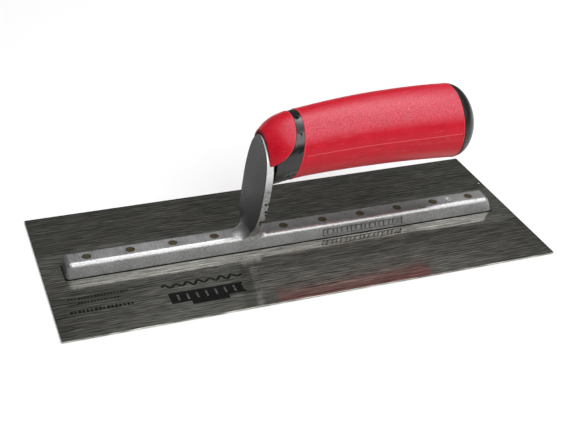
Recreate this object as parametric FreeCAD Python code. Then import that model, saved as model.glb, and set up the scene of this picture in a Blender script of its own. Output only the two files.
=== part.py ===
import FreeCAD, Part

# Finishing trowel: a thin rectangular steel blade, riveted to a cast aluminium mounting whose shank
# carries a two-colour soft-grip handle.
#
# Frame: millimetres, +Z up. The origin is the centre of the blade's underside. The blade is long in
# X, with its toe at -X and its heel at +X, and the handle runs over it from the shank to the heel.

import math
import os

from FreeCAD import Vector

# --- blade: a plain sheet -----------------------------------------------------------------------
BLADE_LENGTH = 280.0
BLADE_WIDTH = 120.0
BLADE_THICKNESS = 0.8
BLADE_CORNER_RADIUS = 0.6

# --- mounting bar: cast with a draft, on a low pad that leaves a shadow gap along its edge --------
BAR_LENGTH = 257.0
BAR_WIDTH = 16.0
BAR_HEIGHT = 8.2
BAR_DRAFT = math.radians(14.5)
BAR_ROUNDING = 2.6
PAD_HEIGHT = 0.35
PAD_INSET = 1.3
BAR_BASE_Z = BLADE_THICKNESS + PAD_HEIGHT
BAR_TOP_Z = BLADE_THICKNESS + BAR_HEIGHT

# recessed panel on the bar's front side, with a row of plain raised blocks
PANEL_START_X = 18.0
PANEL_END_X = 68.5
PANEL_LOW_Z = 2.3
PANEL_HIGH_Z = 6.3
PANEL_DEPTH = 0.8
BLOCK_WIDTHS = (1.7, 2.4, 1.4)
BLOCK_GAP = 1.1
BLOCK_MARGIN = 0.7
BLOCK_SINK = 0.12

# small cast ring on the bar's top, between the last two rivets
RING_RADIUS = 1.5
RING_WALL = 0.5
RING_DEPTH = 0.25
RING_FROM_LAST_RIVET = 13.0

# --- rivets: one row on the centreline, with a wider space at the shank --------------------------
RIVET_PITCH = 23.75
RIVET_FIRST_X = -115.6
RIVET_LAST_X = 115.3
RIVETS_TOE = 4
RIVETS_HEEL = 6
RIVET_RADIUS = 1.9
RIVET_TOP_RADIUS = 2.4
RIVET_TOP_DEPTH = 0.9
RIVET_BASE_RADIUS = 2.9

# --- shank: a leaf-shaped plate that stands on the bar and leans towards the heel ----------------
PLATE_THICKNESS = 4.4
PLATE_EDGE_ROUNDING = 0.45
# its front face in side view, as (x, z)
PLATE_FRONT = ((-27.6, 6.0), (-26.6, 13.5), (-24.4, 24.6), (-21.7, 42.0), (-19.7, 56.0), (-18.9, 72.0))
# half of its outline seen from the toe, as (y, z)
LEAF_HALF = ((6.6, 5.0), (7.0, 9.5), (9.5, 13.2), (12.8, 18.0), (15.3, 25.0), (16.5, 36.0),
             (15.8, 49.0), (12.2, 59.6), (6.9, 65.0), (0.0, 67.6))
# flared root, as horizontal ellipses: (z, x on the toe side, x on the heel side, half width in y)
ROOT_ELLIPSES = ((3.0, -47.0, -1.0, 7.3), (6.2, -42.0, -6.0, 6.8), (8.6, -36.0, -11.8, 6.6),
                 (10.6, -31.0, -16.6, 7.3), (13.4, -27.9, -19.6, 9.0), (18.0, -25.9, -21.2, 12.0),
                 (24.0, -24.4, -20.5, 14.4))
ELLIPSE_POINTS = 16

# --- handle: round sections between two gently arched lines in side view --------------------------
HANDLE_START_X = -18.0
CAP_SEAM_X = 94.8
# the back: a long arc, and a tighter one that takes over ahead of BACK_NOSE_X
BACK_CREST_X = 70.0
BACK_CREST_Z = 84.4
BACK_RADIUS = 455.0
BACK_NOSE_X = -3.5
BACK_NOSE_RADIUS = 22.0
# the underside: the same, with its highest place nearer the shank
BELLY_CREST_X = 42.0
BELLY_CREST_Z = 43.2
BELLY_RADIUS = 710.0
BELLY_NOSE_X = 6.0
BELLY_NOSE_RADIUS = 106.0
# ahead of TAPER_X the sections narrow towards the plate and their widest place sinks
TAPER_X = -5.0
TAPER_RADIUS = 52.0
# distances from the front at which a section is drawn, closer together round the nose
SECTION_STEPS = (0.0, 2.2, 6.5, 14.0, 26.0, 44.0, 66.0, 88.0, CAP_SEAM_X - HANDLE_START_X)
SECTION_POINTS = 24
HANDLE_FRONT_ROUNDING = 1.0
GRIP_EDGE_ROUNDING = 0.45
# the core's band is a little lower than the grips on either side of it
CORE_SINK = 0.2
GRIP_THICKNESS = 3.0
# the sleeve's front edge is a plane leaning towards the heel, through (x, z)
SLEEVE_EDGE_X = -1.4
SLEEVE_EDGE_Z = 60.0
SLEEVE_EDGE_LEAN = 0.2
# rear and lower edge of the thumb grip in side view, from above the handle to ahead of it
THUMB_EDGE = ((-0.9, 82.0), (-3.4, 72.0), (-6.7, 65.1), (-10.6, 60.8), (-15.0, 57.2), (-22.0, 54.4))
# the thumb grip and the core stand back from the plate, and the core has a bevelled front corner
THUMB_STANDOFF = 0.35
CORE_STANDOFF = 0.9
CORE_BEVEL = 1.6
# small round dimples in the core's band between the grips, as angles from the front side
DIMPLE_ANGLES = (15.0, 42.0, 75.0, 105.0, 138.0, 165.0)
DIMPLE_RADIUS = 1.2
DIMPLE_DEPTH = 0.8
DIMPLE_FROM_SLEEVE = 2.5

# --- end cap: a dome with a hollow spigot ---------------------------------------------------------
CAP_LENGTH = 12.4
CAP_SHOULDER = (0.6, 4.4)
CAP_SEAM_SLOPE = -0.1
CAP_EDGE_ROUNDING = 0.3
SPIGOT_RADIUS = 10.0
SPIGOT_LENGTH = 9.0
SPIGOT_WALL = 2.2

# --- tang and the screw that holds the handle on it -------------------------------------------------
TANG_START_X = -18.5
TANG_START_Z = 57.5
TANG_END_X = 62.0
TANG_START_RADIUS = 7.2
TANG_END_RADIUS = 5.6
# the core's cavity leaves this much room behind and round the tang's end
TANG_END_GAP = 1.0
TAPPED_DEPTH = 18.0
SCREW_RADIUS = 3.0
SCREW_LENGTH = 26.0
SCREW_HEAD_ACROSS = 10.0
SCREW_HEAD_HEIGHT = 4.0
SCREW_HOLE_RADIUS = 3.3
CORE_WEB = 6.0
WASHER_RADIUS = 9.0
WASHER_THICKNESS = 1.6

# larger than the whole trowel, for cutting bodies
BIG = 400.0
ALONG = Vector(1, 0, 0)
UP = Vector(0, 0, 1)


def line(start, end):
    return Part.LineSegment(start, end).toShape()


def spline(points, **ends):
    """A smooth edge through the points."""
    curve = Part.BSplineCurve()
    curve.interpolate(Points=points, **ends)
    return curve.toShape()


def ring(points):
    """A smooth closed wire through the points."""
    return Part.Wire(spline(points, PeriodicFlag=True))


def slab(edges, sweep):
    """A closed outline pushed along the sweep."""
    return Part.Face(Part.Wire(edges)).extrude(sweep)


def polygon_slab(corners, sweep):
    return Part.Face(Part.makePolygon(corners + corners[:1])).extrude(sweep)


def rectangle(length, width, z):
    x, y = length / 2, width / 2
    corners = [Vector(-x, -y, z), Vector(x, -y, z), Vector(x, y, z), Vector(-x, y, z)]
    return Part.makePolygon(corners + corners[:1])


# --- blade and rivets -----------------------------------------------------------------------------
def blade():
    sheet = Part.Face(rectangle(BLADE_LENGTH, BLADE_WIDTH, 0)).extrude(UP * BLADE_THICKNESS)
    corners = [e for e in sheet.Edges if e.BoundBox.ZLength > BLADE_THICKNESS / 2]
    return sheet.makeFillet(BLADE_CORNER_RADIUS, corners)


def rivet_places():
    toe = [RIVET_FIRST_X + i * RIVET_PITCH for i in range(RIVETS_TOE)]
    heel = [RIVET_LAST_X - i * RIVET_PITCH for i in reversed(range(RIVETS_HEEL))]
    return toe + heel


def rivet(x):
    """A solid rivet, flush at both ends, countersunk into the blade and into the bar."""
    profile = ((0, 0), (RIVET_BASE_RADIUS, 0), (RIVET_RADIUS, BLADE_THICKNESS),
               (RIVET_RADIUS, BAR_TOP_Z - RIVET_TOP_DEPTH), (RIVET_TOP_RADIUS, BAR_TOP_Z), (0, BAR_TOP_Z))
    points = [Vector(x + r, 0, z) for r, z in profile]
    return Part.Face(Part.makePolygon(points + points[:1])).revolve(Vector(x, 0, 0), UP, 360)


# --- mounting -------------------------------------------------------------------------------------
def bar():
    """The drafted bar with its rounded edges, and the low pad that it stands on."""
    pull_in = 2 * (BAR_TOP_Z - BAR_BASE_Z) * math.tan(BAR_DRAFT)
    base = rectangle(BAR_LENGTH, BAR_WIDTH, BAR_BASE_Z)
    top = rectangle(BAR_LENGTH - pull_in, BAR_WIDTH - pull_in, BAR_TOP_Z)
    body = Part.makeLoft([base, top], True, True)
    rounded = [e for e in body.Edges if e.BoundBox.ZMax > BAR_BASE_Z + 1]
    body = body.makeFillet(BAR_ROUNDING, rounded)
    pad = rectangle(BAR_LENGTH - 2 * PAD_INSET, BAR_WIDTH - 2 * PAD_INSET, BLADE_THICKNESS)
    return body.fuse(Part.Face(pad).extrude(UP * PAD_HEIGHT))


def bar_side_y(z):
    """Where the bar's drafted front side is at height z."""
    return -BAR_WIDTH / 2 + (z - BAR_BASE_Z) * math.tan(BAR_DRAFT)


def side_panel():
    """The pocket cut into the bar's front side, less the raised blocks that stay in it."""
    outside = 3
    low, high = bar_side_y(PANEL_LOW_Z), bar_side_y(PANEL_HIGH_Z)
    corners = [Vector(PANEL_START_X, low - outside, PANEL_LOW_Z),
               Vector(PANEL_START_X, low + PANEL_DEPTH, PANEL_LOW_Z),
               Vector(PANEL_START_X, high + PANEL_DEPTH, PANEL_HIGH_Z),
               Vector(PANEL_START_X, high - outside, PANEL_HIGH_Z)]
    pocket = polygon_slab(corners, ALONG * (PANEL_END_X - PANEL_START_X))
    block_z = PANEL_LOW_Z + BLOCK_MARGIN
    block_y = bar_side_y(block_z) + BLOCK_SINK
    block_height = PANEL_HIGH_Z - PANEL_LOW_Z - 2 * BLOCK_MARGIN
    x = PANEL_START_X + BLOCK_MARGIN
    count = 0
    while x + max(BLOCK_WIDTHS) < PANEL_END_X - BLOCK_MARGIN:
        width = BLOCK_WIDTHS[count % len(BLOCK_WIDTHS)]
        block = Part.makeBox(width, 2 * PANEL_DEPTH, block_height, Vector(x, block_y, block_z))
        pocket = pocket.cut(block)
        x += width + BLOCK_GAP
        count += 1
    return pocket


def top_ring():
    place = Vector(RIVET_LAST_X - RING_FROM_LAST_RIVET, 0, BAR_TOP_Z - RING_DEPTH)
    outer = Part.makeCylinder(RING_RADIUS, 2 * RING_DEPTH, place)
    return outer.cut(Part.makeCylinder(RING_RADIUS - RING_WALL, 2 * RING_DEPTH, place))


def behind_plate_front(start, end):
    """The side view of a layer between two distances behind the plate's front face."""
    front = [Vector(x + start, -BIG / 4, z) for x, z in PLATE_FRONT]
    back = [Vector(x + end, -BIG / 4, z) for x, z in PLATE_FRONT]
    edges = [spline(front), line(front[-1], back[-1]), spline(back), line(back[0], front[0])]
    return slab(edges, Vector(0, BIG / 2, 0))


def leaf_block(grow=0.0):
    """The plate's outline seen from the toe, grown a little and pushed along X through the shank."""
    start_x, length = -60, 60
    wider = 1 + grow / max(y for y, z in LEAF_HALF)
    taller = 1 + grow / max(z for y, z in LEAF_HALF)
    right = [Vector(start_x, y * wider, z * taller) for y, z in LEAF_HALF]
    left = [Vector(start_x, -point.y, point.z) for point in reversed(right)]
    return slab([spline(right + left[1:]), line(left[-1], right[0])], ALONG * length)


def plate():
    body = behind_plate_front(0, PLATE_THICKNESS).common(leaf_block())
    tip = LEAF_HALF[-1][1]
    rims = [e for e in body.Edges if e.BoundBox.ZMax > tip - 1]
    return body.makeFillet(PLATE_EDGE_ROUNDING, rims)


def root():
    """The flared root, a loft of ellipses from inside the bar up into the plate."""
    wires = []
    for z, toe_x, heel_x, half_width in ROOT_ELLIPSES:
        middle, half_length = (toe_x + heel_x) / 2, (heel_x - toe_x) / 2
        turns = [2 * math.pi * i / ELLIPSE_POINTS for i in range(ELLIPSE_POINTS)]
        points = [Vector(middle + half_length * math.cos(a), half_width * math.sin(a), z) for a in turns]
        wires.append(ring(points))
    return Part.makeLoft(wires, True, False)


def tang_end():
    """The middle of the tang's rear end, on the handle's axis."""
    return Vector(TANG_END_X, 0, section_shape(TANG_END_X)[1])


def tang():
    start, end = Vector(TANG_START_X, 0, TANG_START_Z), tang_end()
    run = end - start
    body = Part.makeCone(TANG_START_RADIUS, TANG_END_RADIUS, run.Length, start, run)
    square_end = Part.makeBox(BIG, BIG, BIG, end - Vector(0, BIG / 2, BIG / 2))
    bore = Part.makeCylinder(SCREW_RADIUS, TAPPED_DEPTH, end - ALONG * TAPPED_DEPTH, ALONG)
    return body.cut(square_end).cut(bore)


def mounting():
    body = bar().cut(side_panel()).cut(top_ring())
    for piece in (root(), plate(), tang()):
        body = body.fuse(piece)
    return body


# --- handle ---------------------------------------------------------------------------------------
def arc_drop(distance, radius):
    """How far an arc falls below its crest at a distance from it, nothing before the crest."""
    return radius - math.sqrt(radius ** 2 - max(distance, 0.0) ** 2)


def section_shape(x):
    """At x: half width, height of the widest place, and the reach up and down from it."""
    high = BACK_CREST_Z - arc_drop(abs(x - BACK_CREST_X), BACK_RADIUS)
    high -= arc_drop(BACK_NOSE_X - x, BACK_NOSE_RADIUS)
    low = BELLY_CREST_Z - arc_drop(abs(x - BELLY_CREST_X), BELLY_RADIUS)
    low -= arc_drop(BELLY_NOSE_X - x, BELLY_NOSE_RADIUS)
    taper = arc_drop(TAPER_X - x, TAPER_RADIUS)
    widest = (low + high) / 2 - taper
    return (high - low) / 2 - taper, widest, high - widest, widest - low


def handle_point(x, turn, shrink=0.0):
    """A point of the section at x, turned from the front side (-Y) over the top."""
    half_width, widest, up, down = section_shape(x)
    reach = up if math.sin(turn) > 0 else down
    y = -(half_width - shrink) * math.cos(turn)
    return Vector(x, y, widest + (reach - shrink) * math.sin(turn))


def handle_body(shrink):
    """The handle up to the cap's seam, pulled in all round by shrink."""
    turns = [2 * math.pi * i / SECTION_POINTS for i in range(SECTION_POINTS)]
    places = [HANDLE_START_X + step for step in SECTION_STEPS]
    wires = [ring([handle_point(x, a, shrink) for a in turns]) for x in places]
    body = Part.makeLoft(wires, True, False)
    front = [e for e in body.Edges if e.BoundBox.XMax < HANDLE_START_X + 0.1]
    return body.makeFillet(HANDLE_FRONT_ROUNDING, front)


def behind_sleeve_edge():
    """Everything on the heel side of the sleeve's leaning front edge."""
    tall = BIG / 2
    lean = SLEEVE_EDGE_LEAN * tall
    corners = [Vector(SLEEVE_EDGE_X - lean, -tall, SLEEVE_EDGE_Z - tall),
               Vector(SLEEVE_EDGE_X + lean, -tall, SLEEVE_EDGE_Z + tall),
               Vector(SLEEVE_EDGE_X + BIG, -tall, SLEEVE_EDGE_Z + tall),
               Vector(SLEEVE_EDGE_X + BIG, -tall, SLEEVE_EDGE_Z - tall)]
    return polygon_slab(corners, Vector(0, BIG, 0))


def above_thumb_edge():
    """Everything above and ahead of the thumb grip's edge in side view."""
    points = [Vector(x, -BIG / 4, z) for x, z in THUMB_EDGE]
    above, ahead = points[0], points[-1]
    corner = Vector(ahead.x, ahead.y, above.z)
    return slab([spline(points), line(ahead, corner), line(corner, above)], Vector(0, BIG / 2, 0))


def dimples():
    cutters = []
    for angle in DIMPLE_ANGLES:
        turn = math.radians(angle)
        height = handle_point(SLEEVE_EDGE_X, turn).z
        x = SLEEVE_EDGE_X - DIMPLE_FROM_SLEEVE + SLEEVE_EDGE_LEAN * (height - SLEEVE_EDGE_Z)
        outward = Vector(0, -math.cos(turn), math.sin(turn))
        floor = handle_point(x, turn) - outward * DIMPLE_DEPTH
        cutters.append(Part.makeCylinder(DIMPLE_RADIUS, 3 * DIMPLE_DEPTH, floor, outward))
    return cutters


def core_bevel():
    """What is cut off the core's front corner, behind the plate."""
    front_x = PLATE_FRONT[3][0] + PLATE_THICKNESS + CORE_STANDOFF
    turns = [2 * math.pi * i / SECTION_POINTS for i in range(SECTION_POINTS)]
    wires = [ring([handle_point(front_x, a, CORE_BEVEL) for a in turns]),
             ring([handle_point(front_x + CORE_BEVEL, a) for a in turns])]
    block = Part.makeBox(CORE_BEVEL, BIG / 4, BIG / 4, Vector(front_x, -BIG / 8, 0))
    return block.cut(Part.makeLoft(wires, True, True))


def handle_pieces(mount):
    """The sleeve, the thumb grip and the core under both, each cut clear of the mounting."""
    outer, inner = handle_body(0), handle_body(GRIP_THICKNESS)
    sleeve = outer.common(behind_sleeve_edge())
    thumb = outer.common(above_thumb_edge())
    core = handle_body(CORE_SINK).cut(sleeve.cut(inner)).cut(thumb.cut(inner))
    sleeve_ends = [e for e in sleeve.Edges if e.Closed and e.Length > BAR_LENGTH / 4]
    thumb_edge = [e for e in thumb.Edges if e.BoundBox.XMax > SLEEVE_EDGE_X - 1]
    sleeve = sleeve.makeFillet(GRIP_EDGE_ROUNDING, sleeve_ends).cut(inner)
    thumb = thumb.makeFillet(GRIP_EDGE_ROUNDING, thumb_edge).cut(inner)
    core = core.cut(behind_plate_front(-BIG / 8, PLATE_THICKNESS + CORE_STANDOFF)).cut(core_bevel())
    core = core.cut(mount)
    end = tang_end()
    pocket = end + ALONG * (TANG_END_GAP + CORE_WEB)
    core = core.cut(Part.makeCylinder(TANG_END_RADIUS + TANG_END_GAP, TANG_END_GAP, end, ALONG))
    core = core.cut(Part.makeCylinder(SCREW_RADIUS, TAPPED_DEPTH, end - ALONG * TAPPED_DEPTH, ALONG))
    core = core.cut(Part.makeCylinder(SCREW_HOLE_RADIUS, BIG, end, ALONG))
    core = core.cut(Part.makeCylinder(SPIGOT_RADIUS, BIG, pocket, ALONG))
    for cutter in dimples():
        core = core.cut(cutter)
    around_plate = behind_plate_front(-THUMB_STANDOFF, PLATE_THICKNESS + THUMB_STANDOFF)
    thumb = thumb.cut(around_plate.common(leaf_block(THUMB_STANDOFF))).cut(mount)
    return sleeve, thumb, core


def end_cap():
    """A domed cap with a hollow spigot that presses into the core's rear pocket."""
    radius, seam_z = section_shape(CAP_SEAM_X)[:2]
    seam = Vector(CAP_SEAM_X, 0, seam_z)
    edge = seam + UP * radius
    tip = seam + ALONG * CAP_LENGTH
    share, drop = CAP_SHOULDER
    shoulder = edge + ALONG * (CAP_LENGTH * share) - UP * drop
    dome_line = spline([edge, shoulder, tip], InitialTangent=Vector(1, 0, CAP_SEAM_SLOPE), FinalTangent=-UP)
    dome = Part.Face(Part.Wire([dome_line, line(tip, seam), line(seam, edge)])).revolve(seam, ALONG, 360)
    seam_edge = [e for e in dome.Edges if e.BoundBox.XMax < CAP_SEAM_X + 0.1]
    dome = dome.makeFillet(CAP_EDGE_ROUNDING, seam_edge)
    start = Vector(CAP_SEAM_X - SPIGOT_LENGTH, 0, tang_end().z)
    spigot = Part.makeCylinder(SPIGOT_RADIUS, SPIGOT_LENGTH + 1, start, ALONG)
    hollow = Part.makeCylinder(SPIGOT_RADIUS - SPIGOT_WALL, SPIGOT_LENGTH, start, ALONG)
    return dome.fuse(spigot).cut(hollow)


def washer():
    seat = tang_end() + ALONG * (TANG_END_GAP + CORE_WEB)
    disc = Part.makeCylinder(WASHER_RADIUS, WASHER_THICKNESS, seat, ALONG)
    return disc.cut(Part.makeCylinder(SCREW_HOLE_RADIUS, WASHER_THICKNESS, seat, ALONG))


def screw():
    """A hexagon screw that pulls the handle onto the tang."""
    seat = tang_end() + ALONG * (TANG_END_GAP + CORE_WEB + WASHER_THICKNESS)
    corner = SCREW_HEAD_ACROSS / 2 / math.cos(math.radians(30))
    turns = [math.radians(60 * i) for i in range(6)]
    head = polygon_slab([seat + Vector(0, corner * math.cos(a), corner * math.sin(a)) for a in turns],
                        ALONG * SCREW_HEAD_HEIGHT)
    shaft = Part.makeCylinder(SCREW_RADIUS, SCREW_LENGTH, seat - ALONG * SCREW_LENGTH, ALONG)
    return head.fuse(shaft)


def main():
    rivets = Part.Compound([rivet(x) for x in rivet_places()])
    mount = mounting()
    sleeve, thumb, core = handle_pieces(mount)
    pieces = {"blade": blade().cut(rivets), "mounting": mount.cut(rivets), "blade_rivets": rivets,
              "handle_core": core, "main_grip": sleeve, "thumb_grip": thumb, "end_cap": end_cap(),
              "tang_washer": washer(), "tang_screw": screw()}
    os.makedirs("parts", exist_ok=True)
    for name, shape in pieces.items():
        volume = shape.Volume / 1000
        print(f"{name}: {len(shape.Solids)} solid(s), valid {shape.isValid()}, {volume:.2f} cm3")
        shape.exportStep(f"parts/{name}.step")


main()
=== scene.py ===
import math
import random

import bmesh
import bpy
import numpy as np
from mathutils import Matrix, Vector
from mathutils.bvhtree import BVHTree


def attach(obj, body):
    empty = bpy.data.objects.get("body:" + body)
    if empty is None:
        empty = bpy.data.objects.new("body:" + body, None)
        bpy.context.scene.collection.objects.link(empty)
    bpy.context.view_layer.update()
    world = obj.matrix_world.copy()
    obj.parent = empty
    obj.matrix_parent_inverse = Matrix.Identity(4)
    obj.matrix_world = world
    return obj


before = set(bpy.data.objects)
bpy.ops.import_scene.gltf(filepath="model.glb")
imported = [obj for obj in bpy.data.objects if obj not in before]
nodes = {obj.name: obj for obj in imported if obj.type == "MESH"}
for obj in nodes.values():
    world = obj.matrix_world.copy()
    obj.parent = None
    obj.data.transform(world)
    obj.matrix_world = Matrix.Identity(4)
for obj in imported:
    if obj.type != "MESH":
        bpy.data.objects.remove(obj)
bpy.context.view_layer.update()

scene = bpy.context.scene
MM = 0.001

# All sizes and places below are in millimetres, in the trowel's own frame, unless they say otherwise.

# --- the trowel itself ----------------------------------------------------------------------------
BLADE_TOP = 0.8
BAR_TOP = 9.0
BAR_BASE = 1.15
BAR_SIDE = 8.0
BAR_HALF_LENGTH = 128.5
SIDE_LEAN = math.tan(math.radians(14.5))
PANEL_START = 18.0
PANEL_END = 68.5
TOE_END_X = -120.0
RIVET_PITCH = 23.75
RIVET_FIRST_X = -115.6
RIVET_LAST_X = 115.3
RIVET_RADIUS = 2.4
# between the toe's row of rivets and the heel's
SHANK_X = -30.0
# the cast ring on the bar's top, as the squares of its inner and outer radius
RING_X = RIVET_LAST_X - 13.0
RING_INNER_SQUARE = (0.6, 0.9)
RING_OUTER_SQUARE = (2.6, 3.2)
# the outline of the shank's plate, above its widest place
LEAF_HALF_WIDTH = 16.5
LEAF_MIDDLE_Z = 36.0
LEAF_RISE = 31.6
LEAF_POWER = 2.2
HANDLE_AXIS_Z = 62.0
# the sleeve's front edge, as (x, z, lean), and the seam at its rear
SLEEVE_EDGE = (-1.4, 60.0, 0.2)
SEAM_X = 94.8
# rays at the handle start this far from its axis, or from its centre plane
RAY_REACH = 40.0
RAY_SIDE_REACH = 60.0

# --- cast fillets at the shank's foot --------------------------------------------------------------
FILLET_GROWTH = 3.2
FILLET_VOXEL = 0.5
# where the fillets stand less than this far out, they end below the mounting's surface
FILLET_EDGE = 0.35
FILLET_SINK = 0.1
# planes as (a point, the direction cut away): round what is grown, and round what is kept of it
FILLET_GROWN = (((-72, 0, 0), (-1, 0, 0)), ((22, 0, 0), (1, 0, 0)), ((0, 0, 40), (0, 0, 1)))
FILLET_KEPT = (((-60, 0, 0), (-1, 0, 0)), ((9, 0, 0), (1, 0, 0)), ((0, 0, 32), (0, 0, 1)),
               ((0, 0, 3), (0, 0, -1)))

# --- parting lines along the sleeve ----------------------------------------------------------------
PARTING_START_X = 1.5
PARTING_END_X = 93.5
PARTING_HALF_WIDTH = 0.28
PARTING_HEIGHT = 0.13
PARTING_STEPS = 120
# the line starts at this height and climbs by the rise over the first stretch of the sleeve
PARTING_START_Z = 61.6
PARTING_RISE = 2.4
PARTING_CLIMB_X = 52.0

# --- moulded lips along the grips' edges -----------------------------------------------------------
LIP_RADIUS = 0.3
LIP_TURNS = 8
LIP_STEPS = 160
LIP_INSET = 0.45
# how much of its radius a lip's middle lies below the surface
LIP_SUNK = 0.55
# the thumb grip's rear edge lies between these, and is found by halving the stretch
THUMB_START_X = -17.4
THUMB_BEHIND_X = 2.0
THUMB_HALVINGS = 14

# --- generic print on the blade: a block with plain bars left open, dashes and a wavy line -------------
INK_HEIGHT = 0.012
EMBLEM_START, EMBLEM_END = -80.5, -40.0
EMBLEM_ROWS = (-45.0, -42.9, -37.4, -35.6)
EMBLEM_FOOT = (-70.0, -50.0, -48.2, -45.0)
BAR_PITCH, BAR_OPEN = 5.1, 1.1
# rows of dashes, as (start x, end x, middle y, height, pitch)
DASH_ROWS = ((-131.0, -99.5, -25.6, 1.7, 1.7), (-126.5, -104.5, -30.2, 1.7, 1.7),
             (-131.8, -99.2, -37.6, 2.7, 2.1))
WAVE_START, WAVE_END, WAVE_Y = -82.0, -38.0, -28.9
WAVE_LENGTH, WAVE_SWING, WAVE_WIDTH = 6.2, 1.9, 1.5
WAVE_STEPS = 180

# --- studio, in metres ------------------------------------------------------------------------------
# the camera's tilt, roll and turn in degrees, and its sensor and lens in millimetres
CAMERA_PLACE = (-0.19537, -0.49519, 0.32982)
CAMERA_TURN = (59.424, -2.658, -21.069)
CAMERA_SENSOR = 36.0
CAMERA_LENS = 67.647
CAMERA_SHIFT = -0.0305
WORLD_LIGHT = 0.14
# lamps, as (name, place, target, size, watts)
LAMPS = (("key", (0.7, -1.6, 1.8), (0.0, 0.0, 0.0), (2.4, 1.7), 37),
         ("front", (0.6, -2.0, 1.05), (0.0, 0.0, 0.0), (2.2, 0.7), 3),
         ("top", (0.8, 0.32, 2.3), (0.05, 0.0, 0.05), (1.8, 0.8), 28),
         ("fill", (-0.7, 0.45, 3.0), (-0.1, 0.4, 0.0), (3.2, 2.6), 34))
# half the floor's width, in millimetres, and how far it lies below the blade
FLOOR_HALF = 4000
FLOOR_DROP = 0.0002


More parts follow.
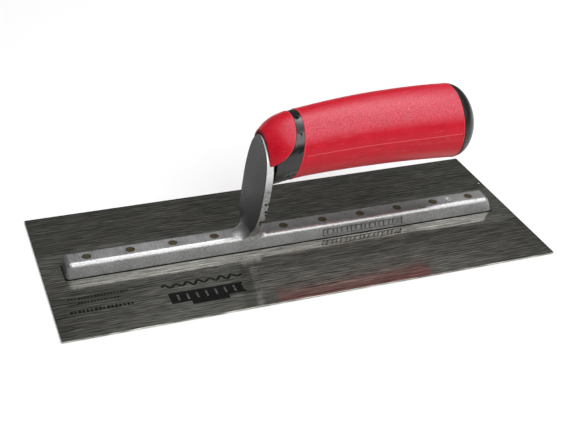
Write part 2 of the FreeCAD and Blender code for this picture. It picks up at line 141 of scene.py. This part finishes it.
# --- materials --------------------------------------------------------------------------------------
class Look:
    """One procedural material. Its coordinates are the object's own, in millimetres."""

    def __init__(self, name, sockets):
        self.material = bpy.data.materials.new(name)
        self.material.use_nodes = True
        self.tree = self.material.node_tree
        self.shader = self.tree.nodes["Principled BSDF"]
        for socket, value in sockets.items():
            self.shader.inputs[socket].default_value = value
        metres = self.node("TexCoord").outputs["Object"]
        self.place = self.node("VectorMath", {0: metres, "Scale": 1 / MM}, operation="SCALE").outputs[0]
        self.x, self.y, self.z = self.node("SeparateXYZ", {0: self.place}).outputs

    def node(self, kind, inputs=None, **settings):
        made = self.tree.nodes.new("ShaderNode" + kind)
        for key, value in settings.items():
            setattr(made, key, value)
        for socket, value in (inputs or {}).items():
            if isinstance(value, bpy.types.NodeSocket):
                self.tree.links.new(value, made.inputs[socket])
            else:
                made.inputs[socket].default_value = value
        return made

    def math(self, operation, *values):
        return self.node("Math", dict(enumerate(values)), operation=operation).outputs[0]

    def add(self, *values):
        total = values[0]
        for value in values[1:]:
            total = self.math("ADD", total, value)
        return total

    def times(self, *values):
        total = values[0]
        for value in values[1:]:
            total = self.math("MULTIPLY", total, value)
        return total

    def span(self, value, low, high, to_low=0.0, to_high=1.0):
        """The stretch from low to high mapped onto another one, and level outside it."""
        inputs = {"Value": value, 1: low, 2: high, 3: to_low, 4: to_high}
        return self.node("MapRange", inputs, clamp=True).outputs[0]

    def stretched(self, sizes, offset=0.0):
        """The place divided by a size along each axis, and moved on by an offset."""
        inputs = {0: self.place, 1: sizes}
        scaled = self.node("VectorMath", inputs, operation="DIVIDE").outputs[0]
        inputs = {0: scaled, 1: (offset, offset * 0.7, offset * 1.3)}
        return self.node("VectorMath", inputs, operation="ADD").outputs[0]

    def noise(self, sizes, detail=2.0, roughness=0.5, offset=0.0):
        """Cloudy noise whose features have the given sizes along X, Y and Z."""
        inputs = {"Vector": self.stretched(sizes, offset), "Scale": 1.0, "Detail": detail,
                  "Roughness": roughness}
        return self.node("TexNoise", inputs).outputs["Fac"]

    def lines(self, pitch, offset=0.0):
        """Fine lines along X at about the given pitch. They wander, and each is broken up."""
        bend = self.noise((40.0, 4.0, 4.0), 2.0, 0.5, offset)
        phase = self.add(self.times(self.y, 2 * math.pi / pitch), self.times(bend, 15.0))
        shown = self.span(self.noise((9.0, 1.4, 1.4), 1.0, 0.5, offset + 2.0), 0.35, 0.6)
        return self.times(self.math("SINE", phase), shown)

    def spots(self, size, offset=0.0):
        """Distance to the nearest of scattered points, and a random value for that point."""
        inputs = {"Vector": self.stretched((size, size, size), offset), "Scale": 1.0}
        made = self.node("TexVoronoi", inputs)
        return made.outputs["Distance"], self.node("SeparateXYZ", {0: made.outputs["Color"]}).outputs[0]

    def facing(self):
        """The X, Y and Z of the surface normal."""
        normal = self.node("NewGeometry").outputs["Normal"]
        return self.node("SeparateXYZ", {0: normal}).outputs

    def grey(self, value, tint=(1.0, 1.0, 1.0)):
        """A grey of the given value, multiplied by a tint."""
        inputs = {0: tint, "Scale": value}
        return self.node("VectorMath", inputs, operation="SCALE").outputs[0]

    def mixed(self, share, first, second):
        made = self.tree.nodes.new("ShaderNodeMix")
        made.data_type = "RGBA"
        for index, value in ((0, share), (6, first), (7, second)):
            if isinstance(value, bpy.types.NodeSocket):
                self.tree.links.new(value, made.inputs[index])
            elif index:
                made.inputs[index].default_value = (*value, 1)
            else:
                made.inputs[index].default_value = value
        return made.outputs[2]

    def bump(self, height, depth, normal=None):
        """A bump of the given depth in millimetres over an earlier one."""
        inputs = {"Height": height, "Distance": depth * MM, "Strength": 1.0}
        if normal is not None:
            inputs["Normal"] = normal
        return self.node("Bump", inputs).outputs[0]

    def finish(self, color, roughness, normal):
        for socket, value in (("Base Color", color), ("Roughness", roughness), ("Normal", normal)):
            self.tree.links.new(value, self.shader.inputs[socket])
        return self.material

    def beyond_leaf(self):
        """One on the outline of the shank's plate seen from the toe, more outside it."""
        share = self.times(self.math("ABSOLUTE", self.y), 1 / LEAF_HALF_WIDTH)
        across = self.math("POWER", share, LEAF_POWER)
        rise = self.math("MAXIMUM", self.add(self.z, -LEAF_MIDDLE_Z), 0.0)
        upward = self.math("POWER", self.times(rise, 1 / LEAF_RISE), LEAF_POWER)
        return self.math("POWER", self.add(across, upward), 1 / LEAF_POWER)

    def from_rivet(self):
        """Distance from the nearest rivet's axis."""
        toe_row = self.math("LESS_THAN", self.x, SHANK_X)
        start = self.add(self.times(toe_row, RIVET_FIRST_X - RIVET_LAST_X), RIVET_LAST_X)
        away = self.math("SUBTRACT", self.x, start)
        along = self.math("WRAP", away, RIVET_PITCH / 2, -RIVET_PITCH / 2)
        square = self.add(self.times(along, along), self.times(self.y, self.y))
        return self.math("SQRT", square)


def brushed_steel():
    """The blade: brushed along its length, with painted light on top and painted shade in the bar's shadow
    gap.
    """
    look = Look("brushed_steel", {"Metallic": 0.86})
    fine = look.noise((8.0, 0.5, 0.5), 1.0)
    streak = look.noise((20.0, 1.0, 1.0), 1.0, 0.5, 3.0)
    lines = look.add(look.times(look.lines(1.75), 0.5), look.times(look.lines(2.3, 5.0), 0.36))
    broad = look.noise((80.0, 7.0, 7.0), 2.0, 0.5, 7.0)
    cloud = look.noise((45.0, 30.0, 30.0), 3.0, 0.6, 11.0)
    across = look.math("ABSOLUTE", look.y)
    # worn: painted glow of the lamps, the blade's top lighter towards the front and away from its ends
    worn = look.times(look.span(look.y, -10.0, -34.0), look.span(look.math("ABSOLUTE", look.x), 140.0, 70.0))
    # painted reflection of the bar's side: a lighter band on the blade along the bar
    bar_reflection = look.span(across, 23.0, 17.0)
    edge = look.span(look.math("ABSOLUTE", look.facing()[1]), 0.4, 0.8)
    # front: more painted glow along the blade's front edge
    front = look.span(look.y, -40.0, -58.0)
    upper = look.math("GREATER_THAN", look.z, BLADE_TOP / 2)
    # painted light in all: the glow and the bar's painted reflection, weaker on the underside
    painted_light = look.add(look.times(worn, 0.14), look.times(front, 0.05), look.times(bar_reflection, 0.09))
    tone = look.add(0.165, look.times(painted_light, look.span(upper, 0.0, 1.0, 0.4, 1.0)), look.times(edge, 0.15))
    tone = look.times(tone, look.add(1.0, lines), look.span(fine, 0.35, 0.65, 0.65, 1.35),
                      look.span(streak, 0.3, 0.7, 0.9, 1.1), look.span(broad, 0.3, 0.7, 0.93, 1.07),
                      look.span(cloud, 0.3, 0.7, 0.93, 1.07))
    beside_x = look.math("SUBTRACT", look.math("ABSOLUTE", look.x), BAR_HALF_LENGTH)
    beside = look.math("MAXIMUM", look.math("SUBTRACT", across, BAR_SIDE), beside_x)
    shaded = look.times(look.span(beside, 0.6, 0.15), upper)
    tone = look.times(tone, look.add(1.0, look.times(shaded, -0.8)))
    distance, chance = look.spots(24.0)
    speck = look.times(look.span(distance, 0.016, 0.024, 1.0, 0.0), look.math("GREATER_THAN", chance, 0.6))
    rough = look.add(look.span(streak, 0.35, 0.65, 0.11, 0.15), look.span(cloud, 0.35, 0.65, -0.01, 0.02),
                     look.times(speck, 0.4))
    color = look.mixed(speck, look.grey(tone, (1.0, 0.99, 0.89)), (0.95, 0.95, 0.9))
    normal = look.bump(look.add(look.times(fine, 0.5), look.times(lines, 0.5)), 0.004)
    normal = look.bump(speck, 0.1, normal)
    return look.finish(color, rough, normal)


def cast_aluminium():
    """The mounting: a tumbled casting, with a ground top and shank front and a pitted rim."""
    look = Look("cast_aluminium", {"Metallic": 1.0})
    nx, ny, nz = look.facing()
    ground_top = look.times(look.span(nz, 0.93, 0.99), look.span(look.z, BAR_TOP - 1.0, BAR_TOP - 0.2),
                            look.span(look.z, BAR_TOP + 2.0, BAR_TOP + 0.5))
    ground_front = look.times(look.span(nx, -0.5, -0.85), look.span(look.z, 9.5, 15.0))
    ground = look.math("MAXIMUM", ground_top, ground_front)
    rim = look.times(look.span(look.math("ABSOLUTE", nx), 0.8, 0.6), look.span(look.z, 13.0, 18.0))
    grain = look.noise((0.5, 0.5, 0.5), 2.0, 0.6)
    pimples = look.noise((1.1, 1.1, 1.1), 1.0, 0.5, 5.0)
    cloud = look.noise((9.0, 9.0, 9.0), 3.0, 0.6, 9.0)
    across = look.noise((0.55, 14.0, 6.0), 3.0, 0.6, 2.0)
    upward = look.noise((6.0, 0.5, 16.0), 3.0, 0.6, 4.0)
    pit_distance, pit_chance = look.spots(2.2, 1.0)
    pitted = look.times(rim, look.span(look.z, 18.0, 22.0), look.span(look.z, 40.0, 34.0))
    pit = look.times(look.span(pit_distance, 0.34, 0.46, 1.0, 0.0),
                     look.math("GREATER_THAN", pit_chance, 0.5), pitted)
    along_ring = look.math("SUBTRACT", look.x, RING_X)
    from_ring = look.add(look.times(along_ring, along_ring), look.times(look.y, look.y))
    cast_ring = look.times(look.span(from_ring, *RING_OUTER_SQUARE[::-1]),
                           look.span(from_ring, *RING_INNER_SQUARE),
                           look.span(look.z, BAR_TOP - 1.0, BAR_TOP - 0.5))
    ring = look.times(look.span(look.from_rivet(), RIVET_RADIUS + 0.1, RIVET_RADIUS + 0.45, 1.0, 0.0),
                      ground_top)
    toe_share = look.span(look.x, -10.0, -50.0, 0.35, 1.0)
    # the ground top lighter towards the toe and near the heel end
    near_the_ends = look.math("MAXIMUM", look.span(look.x, -10.0, -50.0), look.span(look.x, 82.0, 98.0))
    behind_side = look.add(look.y, look.times(look.z, -SIDE_LEAN), BAR_SIDE + SIDE_LEAN * BAR_BASE)
    along_panel = look.times(look.math("GREATER_THAN", look.x, PANEL_START),
                             look.math("LESS_THAN", look.x, PANEL_END))
    # painted shade in the pocket of the label panel
    pocket = look.times(look.span(behind_side, 0.15, 0.35), look.span(behind_side, 1.0, 0.8), along_panel)
    marks = look.times(look.span(across, 0.35, 0.65, -0.1, 0.1), toe_share, ground_top)
    front_marks = look.times(look.span(upward, 0.3, 0.7, -0.015, 0.015), ground_front)
    # painted shade: the ground shank front far darker, for the dark surroundings it reflects, and darker
    # higher up
    painted_front_shade = look.times(ground_front, look.span(look.z, 18.0, 45.0, -0.37, -0.415))
    # painted shade at the bar's foot: the dark line of the shadow gap under the bar
    foot = look.span(look.z, BAR_BASE + 0.1, BAR_BASE + 0.35, 0.3, 1.0)
    # painted shade on the bar's end face at the toe
    toe_end_shade = look.times(look.span(nx, -0.4, -0.9), look.math("LESS_THAN", look.x, TOE_END_X))
    speckle = look.add(look.span(grain, 0.3, 0.7, -0.11, 0.11), look.span(pimples, 0.3, 0.7, -0.06, 0.06))
    cloudy = look.times(look.span(cloud, 0.3, 0.7, -0.04, 0.04),
                        look.add(1.0, look.times(ground_front, -0.8)))
    speckled = look.times(speckle, look.add(1.0, look.times(ground_front, -0.85)))
    # painted highlight on the rim's upper part, and painted shade on it below the handle
    rim_light_and_shade = look.times(rim, look.span(look.z, 42.0, 52.0, -0.17, 0.36))
    top_tone = look.times(ground_top, look.span(near_the_ends, 0.0, 1.0, -0.02, 0.14))
    tone = look.add(0.46, cloudy, speckled, rim_light_and_shade, top_tone, painted_front_shade, marks, front_marks)
    tone = look.times(tone, look.add(1.0, look.times(pit, -0.85)), look.add(1.0, look.times(ring, -0.5)),
                      look.add(1.0, look.times(pocket, -0.22)), foot,
                      look.add(1.0, look.times(toe_end_shade, -0.68)), look.add(1.0, look.times(cast_ring, 0.9)))
    rough = look.add(0.43, look.times(ground_top, -0.04), look.times(ground_front, 0.04),
                     look.span(cloud, 0.3, 0.7, -0.03, 0.03), look.times(pit, 0.3))
    cast_height = look.times(look.add(grain, look.times(pimples, 1.2)),
                             look.add(1.0, look.times(ground, -0.85)))
    normal = look.bump(cast_height, 0.09)
    grooves = look.add(look.times(across, ground_top, toe_share), look.times(upward, ground_front))
    normal = look.bump(grooves, 0.03, normal)
    normal = look.bump(look.times(pit, -1.0), 0.25, normal)
    return look.finish(look.grey(tone), rough, normal)


def tarnished_rivet():
    """The rivets: dull brass, mottled and scratched, with a dark edge."""
    look = Look("tarnished_rivet", {"Metallic": 1.0})
    mottle = look.noise((1.2, 1.2, 1.2), 3.0, 0.6)
    scratch = look.noise((3.0, 0.25, 3.0), 2.0, 0.5, 4.0)
    edge = look.span(look.from_rivet(), RIVET_RADIUS - 0.7, RIVET_RADIUS)
    share = look.add(look.span(mottle, 0.35, 0.65, 0.0, 0.7), look.span(scratch, 0.4, 0.7, 0.0, 0.3))
    color = look.mixed(share, (0.10, 0.085, 0.035), (0.22, 0.19, 0.10))
    color = look.mixed(look.times(edge, 0.75), color, (0.05, 0.04, 0.03))
    rough = look.span(mottle, 0.3, 0.7, 0.3, 0.5)
    normal = look.bump(look.add(mottle, look.times(scratch, 0.5), look.times(edge, -1.0)), 0.06)
    return look.finish(color, rough, normal)


def red_rubber(name, lift=1.0, pale=0.0):
    """The grips: satin rubber with dust, a painted highlight on top, and painted shade in the gap round the
    plate.
    """
    look = Look(name, {"Metallic": 0.0, "IOR": 1.5, "Specular IOR Level": 0.27})
    grain = look.noise((0.6, 0.6, 0.6), 1.0, 0.6)
    soft = look.noise((6.0, 6.0, 6.0), 3.0, 0.55, 3.0)
    scuff = look.noise((11.0, 1.6, 1.6), 3.0, 0.6, 8.0)
    distance, chance = look.spots(7.0, 2.0)
    dust = look.times(look.span(distance, 0.018, 0.035, 1.0, 0.0), look.math("GREATER_THAN", chance, 0.5))
    share = look.add(look.span(soft, 0.3, 0.7, 0.0, 0.5), look.span(grain, 0.3, 0.7, 0.0, 0.5))
    deep = (0.5 * lift, 0.003 + pale, 0.016 + pale)
    clear = (0.63 * lift, 0.007 + pale, 0.026 + pale)
    color = look.mixed(share, deep, clear)
    nx, ny, nz = look.facing()
    upward = look.add(look.times(ny, -0.55), look.times(nz, 0.83), look.times(nx, 0.1))
    # painted highlight: paler pink where the rubber faces the key lamp, broken up by the grain
    painted_highlight = look.times(look.span(upward, 0.8, 0.99), look.span(grain, 0.35, 0.65, 0.05, 0.22))
    color = look.mixed(painted_highlight, color, (0.68, 0.42, 0.55))
    # painted reflection of the pale floor: the underside paler
    color = look.mixed(look.span(nz, -0.2, -0.8, 0.0, 0.08), color, (0.9, 0.6, 0.55))
    # painted shade on the grip's faces toward the plate, which are also made rougher
    facing_plate = look.times(look.span(nx, -0.8, -0.92), look.span(look.x, -16.9, -17.4))
    color = look.mixed(look.times(facing_plate, 0.3), color, (0.05, 0.0, 0.0))
    beyond_plate = look.times(look.add(look.beyond_leaf(), -1.0), LEAF_HALF_WIDTH)
    # painted shade: a dark line on the grip along the plate's outline
    gap = look.times(look.span(beyond_plate, 1.0, 0.6), look.span(look.x, -13.0, -13.8))
    color = look.mixed(look.times(gap, 0.9), color, (0.03, 0.0, 0.002))
    color = look.mixed(look.span(scuff, 0.58, 0.75, 0.0, 0.12), color, (0.8, 0.3, 0.32))
    color = look.mixed(look.times(dust, 0.55), color, (0.9, 0.7, 0.7))
    rough = look.add(look.span(soft, 0.3, 0.7, 0.34, 0.4), look.span(scuff, 0.5, 0.75, 0.0, 0.08),
                     look.times(facing_plate, 0.5))
    normal = look.bump(grain, 0.06)
    normal = look.bump(soft, 0.08, normal)
    normal = look.bump(dust, 0.05, normal)
    return look.finish(color, rough, normal)


def black_plastic(name, gloss, least_rough):
    """The core and the cap: black moulded plastic with a little dust."""
    look = Look(name, {"Metallic": 0.0, "IOR": 1.5, "Specular IOR Level": gloss})
    grain = look.noise((0.3, 0.3, 0.3), 2.0, 0.6)
    soft = look.noise((5.0, 5.0, 5.0), 3.0, 0.6, 3.0)
    distance, chance = look.spots(5.0, 2.0)
    dust = look.times(look.span(distance, 0.02, 0.04, 1.0, 0.0), look.math("GREATER_THAN", chance, 0.6))
    color = look.mixed(look.span(soft, 0.3, 0.7), (0.004, 0.004, 0.0045), (0.009, 0.009, 0.0095))
    color = look.mixed(look.times(dust, 0.5), color, (0.3, 0.3, 0.3))
    rough = look.add(look.span(soft, 0.3, 0.7, least_rough, least_rough + 0.07), look.times(dust, 0.3))
    normal = look.bump(look.add(grain, soft), 0.03)
    return look.finish(color, rough, normal)


def zinc_steel():
    """The hidden washer and screw: zinc plate with its spangle."""
    look = Look("zinc_steel", {"Metallic": 1.0})
    spangle = look.spots(1.4)[1]
    cloud = look.noise((3.0, 3.0, 3.0), 3.0)
    tone = look.add(look.span(spangle, 0.0, 1.0, 0.5, 0.6), look.span(cloud, 0.3, 0.7, -0.06, 0.06))
    rough = look.span(cloud, 0.3, 0.7, 0.28, 0.4)
    return look.finish(look.grey(tone, (0.98, 1.0, 1.03)), rough, look.bump(cloud, 0.03))


def printing_ink():
    """The print on the blade: matt black, worn through along the brushing."""
    look = Look("printing_ink", {"Metallic": 0.0, "IOR": 1.5, "Specular IOR Level": 0.12})
    worn = look.noise((3.0, 0.5, 0.5), 3.0, 0.7)
    cloud = look.noise((9.0, 6.0, 6.0), 3.0, 0.6, 5.0)
    share = look.add(look.span(worn, 0.62, 0.75, 0.0, 0.5), look.span(cloud, 0.6, 0.8, 0.0, 0.1))
    color = look.mixed(share, (0.003, 0.003, 0.003), (0.05, 0.05, 0.045))
    rough = look.span(cloud, 0.3, 0.7, 0.4, 0.5)
    return look.finish(color, rough, look.bump(worn, 0.01))


def pale_floor():
    look = Look("pale_floor", {"Metallic": 0.0, "Specular IOR Level": 0.1})
    cloud = look.noise((400.0, 400.0, 400.0), 2.0)
    fibre = look.noise((2.0, 2.0, 2.0), 2.0, 0.6, 3.0)
    tone = look.add(look.span(cloud, 0.3, 0.7, 0.915, 0.925), look.span(fibre, 0.3, 0.7, -0.004, 0.004))
    rough = look.span(cloud, 0.3, 0.7, 0.8, 0.9)
    return look.finish(look.grey(tone), rough, look.bump(fibre, 0.01))


# --- added pieces -------------------------------------------------------------------------------------
def piece(name, vertices, faces, material, smooth=True):
    """A new object from points in millimetres."""
    mesh = bpy.data.meshes.new(name)
    mesh.from_pydata([Vector(v) * MM for v in vertices], [], faces)
    mesh.polygons.foreach_set("use_smooth", [smooth] * len(faces))
    mesh.materials.append(material)
    made = bpy.data.objects.new(name, mesh)
    scene.collection.objects.link(made)
    return made


def remesh(made, voxel):
    """The object's mesh rebuilt on a grid of voxels, which also joins surfaces that cross."""
    modifier = made.modifiers.new("remesh", "REMESH")
    modifier.mode = "VOXEL"
    modifier.voxel_size = voxel * MM
    bpy.context.view_layer.update()
    graph = bpy.context.evaluated_depsgraph_get()
    mesh = bpy.data.meshes.new_from_object(made.evaluated_get(graph))
    made.modifiers.clear()
    made.data = mesh


def vertex_array(mesh):
    points = np.empty(len(mesh.vertices) * 3)
    mesh.vertices.foreach_get("co", points)
    return points.reshape(-1, 3)


def shift(mesh, distance):
    """Every vertex moved along its normal by a distance in millimetres."""
    normals = np.empty(len(mesh.vertices) * 3)
    mesh.vertex_normals.foreach_get("vector", normals)
    points = vertex_array(mesh) + normals.reshape(-1, 3) * distance * MM
    mesh.vertices.foreach_set("co", points.ravel())
    mesh.update()


def soften(mesh, rounds, factor=0.5):
    """Every vertex moved part of the way to the middle of its neighbours, some rounds over."""
    edges = np.empty(len(mesh.edges) * 2, dtype=np.int64)
    mesh.edges.foreach_get("vertices", edges)
    a, b = edges.reshape(-1, 2).T
    points = vertex_array(mesh)
    count = np.bincount(np.r_[a, b], minlength=len(points))[:, None]
    for _ in range(rounds):
        total = np.zeros_like(points)
        np.add.at(total, a, points[b])
        np.add.at(total, b, points[a])
        points += factor * (total / np.maximum(count, 1) - points)
    mesh.vertices.foreach_set("co", points.ravel())
    mesh.update()


def weld(mesh):
    """Vertices in the same place joined, so that the surface is closed."""
    bm = bmesh.new()
    bm.from_mesh(mesh)
    bmesh.ops.remove_doubles(bm, verts=bm.verts, dist=1e-6)
    bm.to_mesh(mesh)
    bm.free()


def cut_off(mesh, place, normal, fill):
    """The side of a plane that its normal points to is removed."""
    bm = bmesh.new()
    bm.from_mesh(mesh)
    everything = bm.verts[:] + bm.edges[:] + bm.faces[:]
    cut = bmesh.ops.bisect_plane(bm, geom=everything, plane_co=Vector(place) * MM, plane_no=normal,
                                 clear_outer=True)
    if fill:
        edges = [g for g in cut["geom_cut"] if isinstance(g, bmesh.types.BMEdge)]
        bmesh.ops.triangle_fill(bm, edges=edges, use_beauty=True)
        bmesh.ops.recalc_face_normals(bm, faces=bm.faces)
    bm.to_mesh(mesh)
    bm.free()


def sink_below(mesh, solid):
    """Vertices close to the solid's surface pushed just below it."""
    tree = BVHTree.FromObject(solid, bpy.context.evaluated_depsgraph_get())
    for vertex in mesh.vertices:
        near, normal, _, _ = tree.find_nearest(vertex.co)
        out = (vertex.co - near).dot(normal) / MM
        if out < FILLET_EDGE:
            share = min(max(out / FILLET_EDGE, 0), 1)
            vertex.co = near + normal * (share * FILLET_EDGE - (1 - share) * FILLET_SINK) * MM
    mesh.update()


def shank_fillets(material):
    """The cast fillets round the shank's foot: the mounting grown, joined and shrunk back again."""
    made = bpy.data.objects.new("shank_fillets", nodes["mounting"].data.copy())
    made.matrix_world = nodes["mounting"].matrix_world
    scene.collection.objects.link(made)
    mesh = made.data
    weld(mesh)
    for place, normal in FILLET_GROWN:
        cut_off(mesh, place, normal, True)
    remesh(made, FILLET_VOXEL)
    shift(made.data, FILLET_GROWTH)
    remesh(made, FILLET_VOXEL)
    soften(made.data, 4)
    shift(made.data, -FILLET_GROWTH)
    soften(made.data, 3)
    sink_below(made.data, nodes["mounting"])
    for place, normal in FILLET_KEPT:
        cut_off(made.data, place, normal, False)
    made.data.polygons.foreach_set("use_smooth", [True] * len(made.data.polygons))
    made.data.materials.clear()
    made.data.materials.append(material)
    return made


def parting_height(x):
    """How high the sleeve's parting line runs."""
    return PARTING_START_Z + PARTING_RISE * math.sin(min(x / PARTING_CLIMB_X, 1) * math.pi / 2)


def parting_lines(material):
    """A low moulding ridge along each side of the sleeve, where the two halves of its mould met."""
    grip = nodes["main_grip"]
    tree = BVHTree.FromObject(grip, bpy.context.evaluated_depsgraph_get())
    offsets = [i / 3 for i in range(-3, 4)]
    vertices, faces = [], []
    for side in (-1, 1):
        first = len(vertices)
        for step in range(PARTING_STEPS + 1):
            x = PARTING_START_X + (PARTING_END_X - PARTING_START_X) * step / PARTING_STEPS
            for offset in offsets:
                z = parting_height(x) + offset * PARTING_HALF_WIDTH
                start = Vector((x, side * RAY_SIDE_REACH, z)) * MM
                hit, normal, _, _ = tree.ray_cast(start, Vector((0, -side, 0)))
                height = PARTING_HEIGHT * (1.3 * math.cos(offset * math.pi / 2) ** 2 - 0.3)
                vertices.append(hit / MM + normal * height)
        row = len(offsets)
        for step in range(PARTING_STEPS):
            for i in range(row - 1):
                a = first + step * row + i
                face = (a, a + 1, a + row + 1, a + row)
                faces.append(face if side > 0 else face[::-1])
    return piece("parting_lines", vertices, faces, material)


def bead(path, outward, vertices, faces, closed):
    """A thin round bead along a path of points, with the direction away from the handle at each."""
    first, count = len(vertices), len(path)
    for i, (point, out) in enumerate(zip(path, outward)):
        before = path[i - 1] if closed or i else point
        after = path[(i + 1) % count] if closed or i + 1 < count else point
        along = (after - before).normalized()
        across = along.cross(out).normalized()
        for turn in range(LIP_TURNS):
            angle = 2 * math.pi * turn / LIP_TURNS
            vertices.append(point + (out * math.cos(angle) + across * math.sin(angle)) * LIP_RADIUS)
    for i in range(count if closed else count - 1):
        for turn in range(LIP_TURNS):
            a, b = first + i * LIP_TURNS, first + (i + 1) % count * LIP_TURNS
            other = (turn + 1) % LIP_TURNS
            faces.append((a + turn, a + other, b + other, b + turn))


def thumb_edge():
    """A path just inside the thumb grip's rear edge, and the direction away from the handle along it."""
    tree = BVHTree.FromObject(nodes["thumb_grip"], bpy.context.evaluated_depsgraph_get())
    path, outward = [], []
    for step in range(LIP_STEPS + 1):
        angle = math.pi * (1.4 * step / LIP_STEPS - 0.2)
        across = Vector((0, -math.cos(angle), math.sin(angle)))

        def surface(x):
            centre = Vector((x, 0, HANDLE_AXIS_Z))
            return tree.ray_cast((centre + across * RAY_REACH) * MM, -across, RAY_REACH * MM)[:2]

        ahead, behind = THUMB_START_X, THUMB_BEHIND_X
        if surface(ahead)[0] is None:
            continue
        for _ in range(THUMB_HALVINGS):
            middle = (ahead + behind) / 2
            if surface(middle)[0] is None:
                behind = middle
            else:
                ahead = middle
        hit, normal = surface(ahead - LIP_INSET)
        if hit is not None:
            path.append(hit / MM - normal * LIP_RADIUS * LIP_SUNK)
            outward.append(normal)
    return path, outward


def grip_lips(material):
    """The thin moulded lips along the sleeve's two ends and along the thumb grip's rear edge."""
    tree = BVHTree.FromObject(nodes["main_grip"], bpy.context.evaluated_depsgraph_get())
    edge_x, edge_z, lean = SLEEVE_EDGE
    vertices, faces = [], []
    for start_x, tilt, back in ((edge_x, lean, LIP_INSET), (SEAM_X, 0.0, -LIP_INSET)):
        path, outward = [], []
        for step in range(LIP_STEPS):
            angle = 2 * math.pi * step / LIP_STEPS
            across = Vector((tilt * math.sin(angle), math.cos(angle), math.sin(angle)))
            centre = Vector((start_x + back + tilt * (HANDLE_AXIS_Z - edge_z), 0, HANDLE_AXIS_Z))
            hit, normal, _, _ = tree.ray_cast((centre + across * RAY_REACH) * MM, -across)
            path.append(hit / MM - normal * LIP_RADIUS * LIP_SUNK)
            outward.append(normal)
        bead(path, outward, vertices, faces, True)
    bead(*thumb_edge(), vertices, faces, False)
    return piece("grip_lips", vertices, faces, material)


def ink_outlines():
    """The corners of each patch of ink, four at a time."""
    draw = random.Random(4)
    low, middle_low, middle_high, high = EMBLEM_ROWS
    boxes = [EMBLEM_FOOT, (EMBLEM_START, EMBLEM_END, low, middle_low),
             (EMBLEM_START, EMBLEM_END, middle_high, high)]
    x = EMBLEM_START
    while x < EMBLEM_END:
        boxes.append((x, min(x + BAR_PITCH - BAR_OPEN, EMBLEM_END), middle_low, middle_high))
        x += BAR_PITCH
    for start, end, y, height, pitch in DASH_ROWS:
        x = start
        while x < end:
            length = pitch * draw.uniform(0.5, 0.8)
            tall = height * draw.uniform(0.75, 1.0)
            boxes.append((x, min(x + length, end), y - tall / 2, y + tall / 2))
            x += pitch
    outlines = [((x0, y0), (x1, y0), (x1, y1), (x0, y1)) for x0, x1, y0, y1 in boxes]
    edges = []
    for step in range(WAVE_STEPS + 1):
        x = WAVE_START + (WAVE_END - WAVE_START) * step / WAVE_STEPS
        phase = 2 * math.pi * (x - WAVE_START) / WAVE_LENGTH
        swing = WAVE_SWING * (0.75 + 0.25 * math.cos(phase * 0.37))
        slope = swing * math.cos(phase) * 2 * math.pi / WAVE_LENGTH
        half = Vector((-slope, 1)).normalized() * WAVE_WIDTH / 2
        middle = Vector((x, WAVE_Y + swing * math.sin(phase)))
        edges.append((middle - half, middle + half))
    for (low_a, high_a), (low_b, high_b) in zip(edges, edges[1:]):
        outlines.append((low_a, low_b, high_b, high_a))
    return outlines


def printed_marks(material):
    """Thin films of ink on the blade."""
    vertices, faces = [], []
    for corners in ink_outlines():
        n = len(vertices)
        for z in (BLADE_TOP - INK_HEIGHT, BLADE_TOP + INK_HEIGHT):
            vertices += [(x, y, z) for x, y in corners]
        faces += [(n + 4, n + 5, n + 6, n + 7), (n, n + 3, n + 2, n + 1)]
        for i in range(4):
            j = (i + 1) % 4
            faces.append((n + i, n + j, n + 4 + j, n + 4 + i))
    return piece("printed_marks", vertices, faces, material, smooth=False)


# --- studio -------------------------------------------------------------------------------------------
def add_camera():
    data = bpy.data.cameras.new("camera")
    data.sensor_width = CAMERA_SENSOR
    data.lens = CAMERA_LENS
    data.shift_x = CAMERA_SHIFT
    made = bpy.data.objects.new("camera", data)
    made.location = CAMERA_PLACE
    made.rotation_euler = [math.radians(angle) for angle in CAMERA_TURN]
    scene.collection.objects.link(made)
    scene.camera = made


def softbox(name, place, target, size, power):
    data = bpy.data.lights.new(name, "AREA")
    data.shape = "RECTANGLE"
    data.size, data.size_y = size
    data.energy = power
    made = bpy.data.objects.new(name, data)
    made.location = place
    made.rotation_euler = (Vector(target) - Vector(place)).to_track_quat("-Z", "Y").to_euler()
    scene.collection.objects.link(made)


def add_studio():
    world = bpy.data.worlds.new("studio")
    world.use_nodes = True
    background = world.node_tree.nodes["Background"]
    background.inputs["Color"].default_value = (1.0, 1.0, 1.0, 1)
    background.inputs["Strength"].default_value = WORLD_LIGHT
    scene.world = world
    scene.view_settings.view_transform = "Standard"
    for lamp in LAMPS:
        softbox(*lamp)
    corners = [(x * FLOOR_HALF, y * FLOOR_HALF, 0) for x, y in ((-1, -1), (1, -1), (1, 1), (-1, 1))]
    floor = piece("floor", corners, [(0, 1, 2, 3)], pale_floor())
    floor.location.z = -FLOOR_DROP


# --- the whole object ---------------------------------------------------------------------------------
aluminium = cast_aluminium()
red = red_rubber("red_rubber")
zinc = zinc_steel()
finishes = {"blade": brushed_steel(), "mounting": aluminium, "blade_rivets": tarnished_rivet(),
            "main_grip": red, "thumb_grip": red, "handle_core": black_plastic("core_plastic", 0.65, 0.17),
            "end_cap": black_plastic("cap_plastic", 0.45, 0.3), "tang_washer": zinc, "tang_screw": zinc}
for name, material in finishes.items():
    for slot in nodes[name].material_slots:
        slot.material = material

# a paler red for the parting lines and lips: moulding flash, and partly a painted highlight along the lips
flash_and_highlight_red = red_rubber("red_flash_and_highlight", 1.25, 0.05)
for made, slot in ((shank_fillets(aluminium), "cast_aluminium"), (parting_lines(flash_and_highlight_red), "red_grip"),
                   (grip_lips(flash_and_highlight_red), "red_grip"), (printed_marks(printing_ink()), "blade_steel")):
    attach(made, "root")

add_camera()
add_studio()
